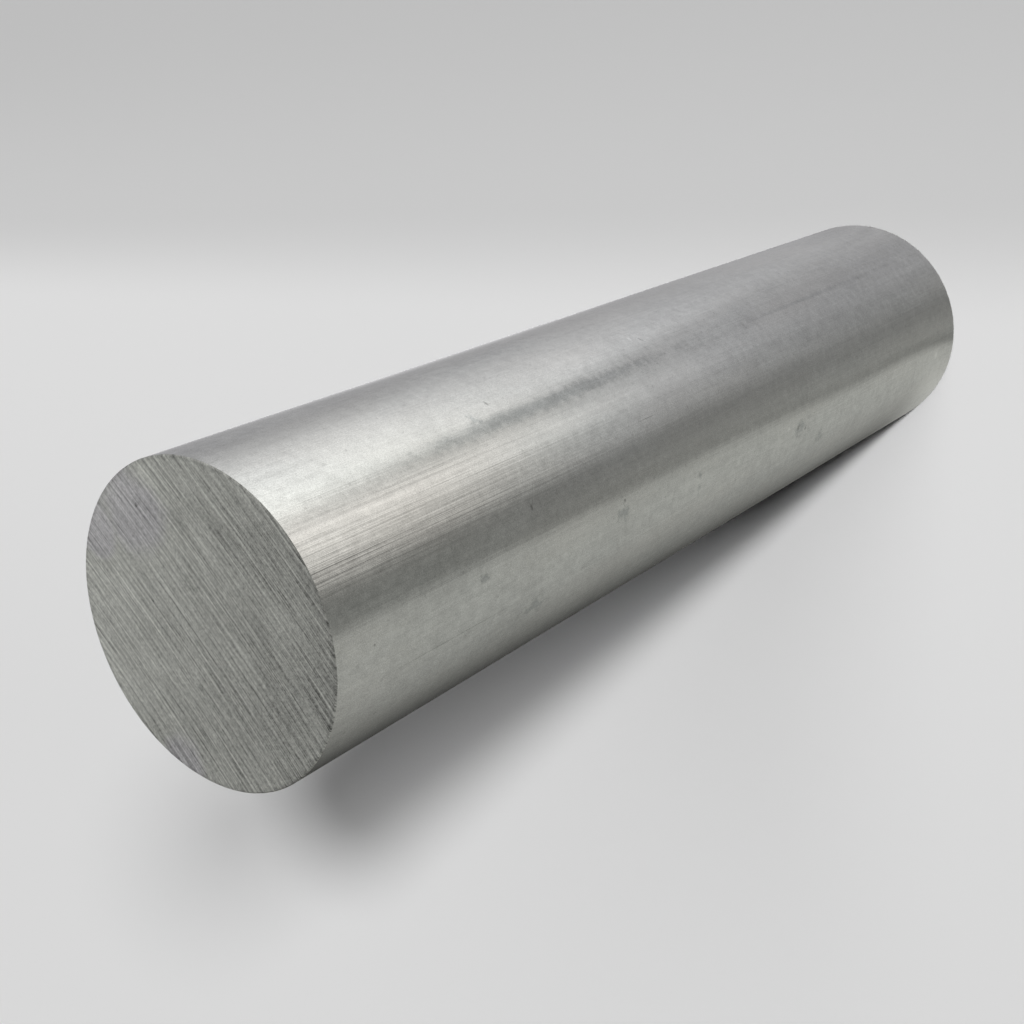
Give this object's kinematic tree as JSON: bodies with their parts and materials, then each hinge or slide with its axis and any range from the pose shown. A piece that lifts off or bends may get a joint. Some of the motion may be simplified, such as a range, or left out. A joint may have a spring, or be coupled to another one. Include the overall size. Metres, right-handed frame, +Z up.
{
  "type": "round metal bar",
  "caption": "Solid round bar of mill-finish extruded aluminium, cut square and deburred at both ends; stands on a sawn face as stock for machining or framing.",
  "frame": {"origin": "middle of the lower sawn face, on the floor that the bar stands on", "axes": "+Z up the bar's axis, from the lower sawn face to the upper one; +X and +Y are any two square directions across the bar, which is the same all round"},
  "size_m": [0.0698, 0.0698, 0.3048],
  "materials": {
    "mill_aluminium": "mill finish, extruded skin with fine lengthwise lines; sawn ends"
  },
  "bodies": {
    "root": {"round_bar": "mill_aluminium"}
  },
  "joints": []
}
